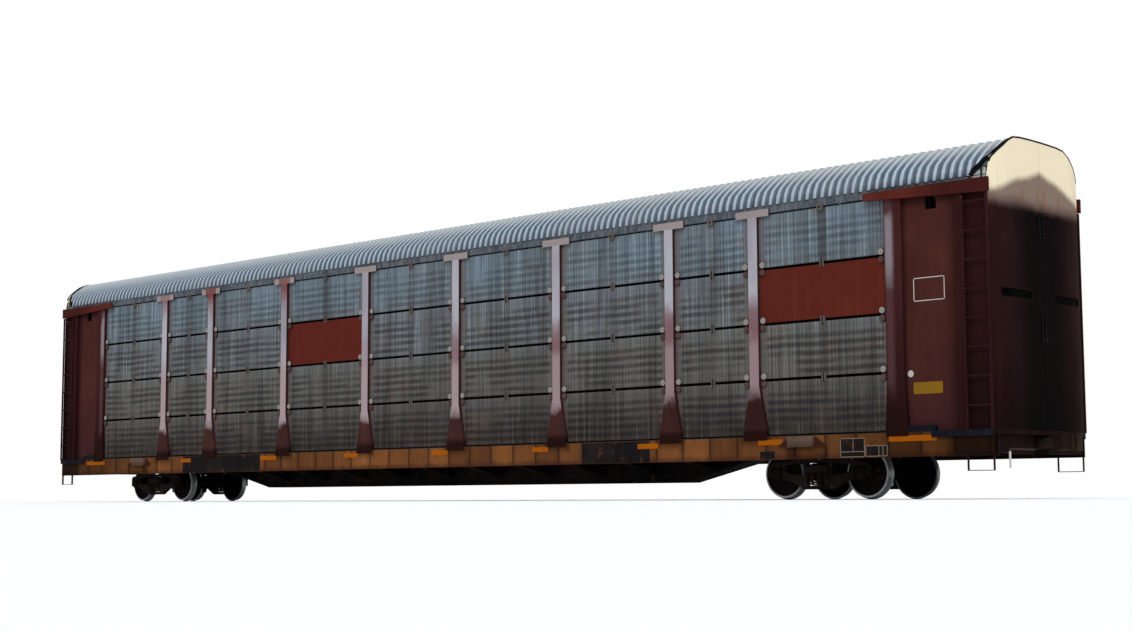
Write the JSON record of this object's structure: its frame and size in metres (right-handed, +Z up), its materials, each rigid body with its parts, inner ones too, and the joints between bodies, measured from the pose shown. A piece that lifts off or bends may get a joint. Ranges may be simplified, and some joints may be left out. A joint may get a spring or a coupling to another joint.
{
  "type": "autorack car",
  "caption": "Enclosed two-level rail car for road vehicles: screened side walls between posts, corrugated roof, curved end doors, fishbelly flat car on swivelling trucks.",
  "frame": {"origin": "under the middle of the car, level with the tips of the wheel flanges; the rail top is at z 0.025 m", "axes": "+X along the car towards end a, the right-hand end in the picture; +Y towards the far side; +Z up"},
  "size_m": [28.784, 3.12, 5.8148],
  "materials": {
    "frame_black": "matt, road dirt",
    "sill_brown": "faded matt paint, rusty",
    "pad_grey": "matt paint",
    "post_mauve": "faded paint, rusty at the seams",
    "rack_maroon": "dark matt paint",
    "screen_steel": "galvanised, weathered",
    "sign_red": "matt paint",
    "eave_steel": "galvanised, weathered",
    "roof_steel": "galvanised",
    "track_red": "matt paint",
    "door_maroon": "dark satin paint",
    "deck_steel": "worn paint",
    "brake_black": "matt",
    "cast_steel": "cast, rusty",
    "spring_steel": "rusty",
    "wheel_steel": "rolled steel, bright treads"
  },
  "bodies": {
    "car_body": {"centre_sill": "frame_black", "side_sills": "sill_brown", "crossbearers": "frame_black", "body_bolsters": "frame_black", "end_sills": "frame_black", "draft_housings": "frame_black", "jacking_pads": "pad_grey", "sill_steps": "sill_brown", "lower_deck": "deck_steel", "side_posts": "post_mauve", "end_posts": "rack_maroon", "side_screens_near": "screen_steel", "side_screens_far": "screen_steel", "sign_panels": "sign_red", "end_panels": "rack_maroon", "eave_rails": "eave_steel", "upper_deck": "deck_steel", "roof_sheets": "roof_steel", "roof_end_arches": "roof_steel", "upper_door_tracks": "track_red", "lower_door_tracks": "rack_maroon", "door_thresholds": "sill_brown", "end_door_a_near": "door_maroon", "end_door_a_far": "door_maroon", "end_door_b_near": "door_maroon", "end_door_b_far": "door_maroon", "ladders": "rack_maroon", "brake_equipment": "brake_black", "uncoupling_levers": "brake_black"},
    "coupler_body_a": {"coupler_a": "cast_steel", "knuckle_a": "cast_steel"},
    "truck_a": {"side_frames_a": "cast_steel", "truck_bolster_a": "cast_steel", "spring_nests_a": "spring_steel", "brake_beams_a": "cast_steel"},
    "coupler_body_b": {"coupler_b": "cast_steel", "knuckle_b": "cast_steel"},
    "truck_b": {"side_frames_b": "cast_steel", "truck_bolster_b": "cast_steel", "spring_nests_b": "spring_steel", "brake_beams_b": "cast_steel"},
    "rolling_1": {"wheelset_1": "wheel_steel"},
    "rolling_2": {"wheelset_2": "wheel_steel"},
    "rolling_3": {"wheelset_3": "wheel_steel"},
    "rolling_4": {"wheelset_4": "wheel_steel"}
  },
  "joints": [
    {"name": "truck_a_swivel", "type": "hinge", "parent": "car_body", "child": "truck_a", "pos_m": [10.058, 0, 0.68], "axis": [0, 0, 1], "range_deg": [-8, 8]},
    {"name": "coupler_a_swing", "type": "hinge", "parent": "car_body", "child": "coupler_body_a", "pos_m": [12.776, 0, 0.901], "axis": [0, 0, 1], "range_deg": [-10, 10]},
    {"name": "truck_b_swivel", "type": "hinge", "parent": "car_body", "child": "truck_b", "pos_m": [-10.058, 0, 0.68], "axis": [0, 0, 1], "range_deg": [-8, 8]},
    {"name": "coupler_b_swing", "type": "hinge", "parent": "car_body", "child": "coupler_body_b", "pos_m": [-12.776, 0, 0.901], "axis": [0, 0, 1], "range_deg": [-10, 10]},
    {"name": "wheelset_1_roll", "type": "hinge", "parent": "truck_a", "child": "rolling_1", "pos_m": [10.9215, 0, 0.444], "axis": [0, 1, 0], "continuous": true},
    {"name": "wheelset_2_roll", "type": "hinge", "parent": "truck_a", "child": "rolling_2", "pos_m": [9.1945, 0, 0.444], "axis": [0, 1, 0], "continuous": true},
    {"name": "wheelset_3_roll", "type": "hinge", "parent": "truck_b", "child": "rolling_3", "pos_m": [-9.1945, 0, 0.444], "axis": [0, 1, 0], "continuous": true},
    {"name": "wheelset_4_roll", "type": "hinge", "parent": "truck_b", "child": "rolling_4", "pos_m": [-10.9215, 0, 0.444], "axis": [0, 1, 0], "continuous": true}
  ]
}
